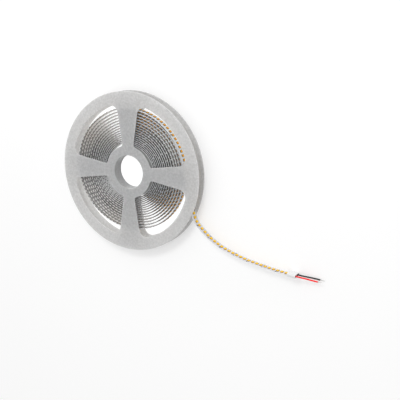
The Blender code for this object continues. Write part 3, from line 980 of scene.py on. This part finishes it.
def make_floor_material():
    """White that glows in part. What glows shows no shadow, and lights what is above it from below."""
    material = bpy.data.materials.new("floor_white")
    material.use_nodes = True
    tree = material.node_tree
    tree.nodes.clear()
    output = tree.nodes.new("ShaderNodeOutputMaterial")
    diffuse = tree.nodes.new("ShaderNodeBsdfDiffuse")
    diffuse.inputs["Color"].default_value = (FLOOR_GREY, FLOOR_GREY, FLOOR_GREY, 1)
    glow = tree.nodes.new("ShaderNodeEmission")
    glow.inputs["Color"].default_value = (1, 1, 1, 1)
    glow.inputs["Strength"].default_value = FLOOR_GLOW
    coordinates = tree.nodes.new("ShaderNodeTexCoord")
    distance = tree.nodes.new("ShaderNodeVectorMath")
    distance.operation = "LENGTH"
    tree.links.new(coordinates.outputs["Object"], distance.inputs[0])

    def inside(radius, soft_edge):
        """1 nearer the reel's axis than radius and 0 further out, with a soft edge between."""
        level = tree.nodes.new("ShaderNodeMapRange")
        level.inputs["From Min"].default_value = radius - soft_edge
        level.inputs["From Max"].default_value = radius + soft_edge
        level.inputs["To Min"].default_value = 1.0
        level.inputs["To Max"].default_value = 0.0
        tree.links.new(distance.outputs["Value"], level.inputs["Value"])
        return level.outputs["Result"]

    def arithmetic(operation, *inputs):
        node = tree.nodes.new("ShaderNodeMath")
        node.operation = operation
        for socket, value in zip(node.inputs, inputs):
            if isinstance(value, float):
                socket.default_value = value
            else:
                tree.links.new(value, socket)
        return node.outputs[0]

    under_reel = inside(UNDER_REEL_RADIUS, UNDER_REEL_SOFT)
    in_bore = inside(IN_BORE_RADIUS, IN_BORE_SOFT)
    seen_glow = arithmetic("MULTIPLY_ADD", under_reel, SEEN_UNDER_REEL - SEEN_OUTSIDE, SEEN_OUTSIDE)
    cast_glow = arithmetic("MULTIPLY_ADD", under_reel, CAST_UNDER_REEL - CAST_OUTSIDE, CAST_OUTSIDE)
    cast_glow = arithmetic("MULTIPLY_ADD", in_bore, CAST_IN_BORE - CAST_UNDER_REEL, cast_glow)
    path = tree.nodes.new("ShaderNodeLightPath")
    seen = arithmetic("MAXIMUM", path.outputs["Is Camera Ray"], path.outputs["Is Glossy Ray"])
    seen = arithmetic("MAXIMUM", seen, path.outputs["Is Transmission Ray"])
    extra = arithmetic("MULTIPLY", seen, arithmetic("SUBTRACT", seen_glow, cast_glow))
    share = tree.nodes.new("ShaderNodeMixShader")
    tree.links.new(arithmetic("ADD", cast_glow, extra), share.inputs["Fac"])
    tree.links.new(diffuse.outputs[0], share.inputs[1])
    tree.links.new(glow.outputs[0], share.inputs[2])
    tree.links.new(share.outputs[0], output.inputs["Surface"])
    return material


def build_floor():
    corners = [(x * FLOOR_REACH, y * FLOOR_REACH, 0) for x, y in ((-1, -1), (1, -1), (1, 1), (-1, 1))]
    mesh = bpy.data.meshes.new("floor")
    mesh.from_pydata(corners, [], [(0, 1, 2, 3)])
    mesh.materials.append(make_floor_material())
    floor = add_object("floor", mesh)


def build_world():
    """White to the camera, and a soft light that is strongest from its bright side."""
    world = bpy.data.worlds.new("studio")
    bpy.context.scene.world = world
    world.use_nodes = True
    tree = world.node_tree
    tree.nodes.clear()
    output = tree.nodes.new("ShaderNodeOutputWorld")
    coordinates = tree.nodes.new("ShaderNodeTexCoord")
    towards = tree.nodes.new("ShaderNodeVectorMath")
    towards.operation = "DOT_PRODUCT"
    towards.inputs[1].default_value = BRIGHT_SIDE
    level = tree.nodes.new("ShaderNodeMapRange")
    level.inputs["From Min"].default_value = -1.0
    level.inputs["To Min"].default_value = FILL_LOW
    level.inputs["To Max"].default_value = FILL_HIGH
    fill = tree.nodes.new("ShaderNodeBackground")
    seen = tree.nodes.new("ShaderNodeBackground")
    for node in (fill, seen):
        node.inputs["Color"].default_value = (1, 1, 1, 1)
    seen.inputs["Strength"].default_value = 1.0
    share = tree.nodes.new("ShaderNodeMixShader")
    path = tree.nodes.new("ShaderNodeLightPath")
    tree.links.new(coordinates.outputs["Generated"], towards.inputs[0])
    tree.links.new(towards.outputs["Value"], level.inputs["Value"])
    tree.links.new(level.outputs["Result"], fill.inputs["Strength"])
    tree.links.new(path.outputs["Is Camera Ray"], share.inputs["Fac"])
    tree.links.new(fill.outputs[0], share.inputs[1])
    tree.links.new(seen.outputs[0], share.inputs[2])
    tree.links.new(share.outputs[0], output.inputs["Surface"])


def add_lamp(name, place, target, size, power):
    lamp = bpy.data.lights.new(name, "AREA")
    lamp.shape = "DISK"
    lamp.size = size
    lamp.energy = power
    item = add_object(name, lamp)
    item.location = place
    item.rotation_euler = (Vector(place) - Vector(target)).to_track_quat("Z", "Y").to_euler()


def build_camera():
    lens = bpy.data.cameras.new("photo_camera")
    lens.sensor_fit = "HORIZONTAL"
    lens.sensor_width = SENSOR_WIDTH_IN_MM
    lens.lens = FOCAL_LENGTH_IN_MM
    lens.clip_start = CLIP_START
    lens.clip_end = CLIP_END
    camera = add_object("photo_camera", lens)
    forward, up = Vector(CAMERA_FORWARD), Vector(CAMERA_UP)
    turned = Matrix((forward.cross(up), up, -forward)).transposed().to_4x4()
    camera.matrix_world = Matrix.Translation(CAMERA_PLACE) @ turned
    bpy.context.scene.camera = camera


def main():
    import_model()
    bpy.context.scene.view_settings.view_transform = "Standard"
    build_camera()
    materials = make_materials()

    wound = wound_route()
    route = free_route(wound)
    distances = led_distances(route.length - LAST_LED_FROM_END, LED_LENGTH / 2)
    end = route.line[-1]
    direction = (end - route.at(route.length - LED_PITCH)).normalized()
    end_sleeve = build_end_sleeve(end, direction, materials)
    build_free_end(route, distances, materials)
    build_wire("black", BLACK_ROUTE_MM, -WIRE_SPREAD, end, direction, materials)
    build_wire("red", RED_ROUTE_MM, WIRE_SPREAD, end, direction, materials)
    build_winding(wound, distances[0], materials)
    build_reel_half("reel_front", "front_reel_half", materials["reel"], front=True)
    build_reel_half("reel_rear", "rear_reel_half", materials["reel"])
    for node in ("black_solder_joint", "red_solder_joint"):
        joint = bpy.data.objects[node]
        joint.material_slots[0].material = materials["tin"]

    build_floor()
    build_world()
    add_lamp("key", KEY_LAMP_PLACE, KEY_LAMP_TARGET, KEY_LAMP_SIZE, KEY_LAMP_POWER)
    add_lamp("edge", EDGE_LAMP_PLACE, EDGE_LAMP_TARGET, EDGE_LAMP_SIZE, EDGE_LAMP_POWER)


main()
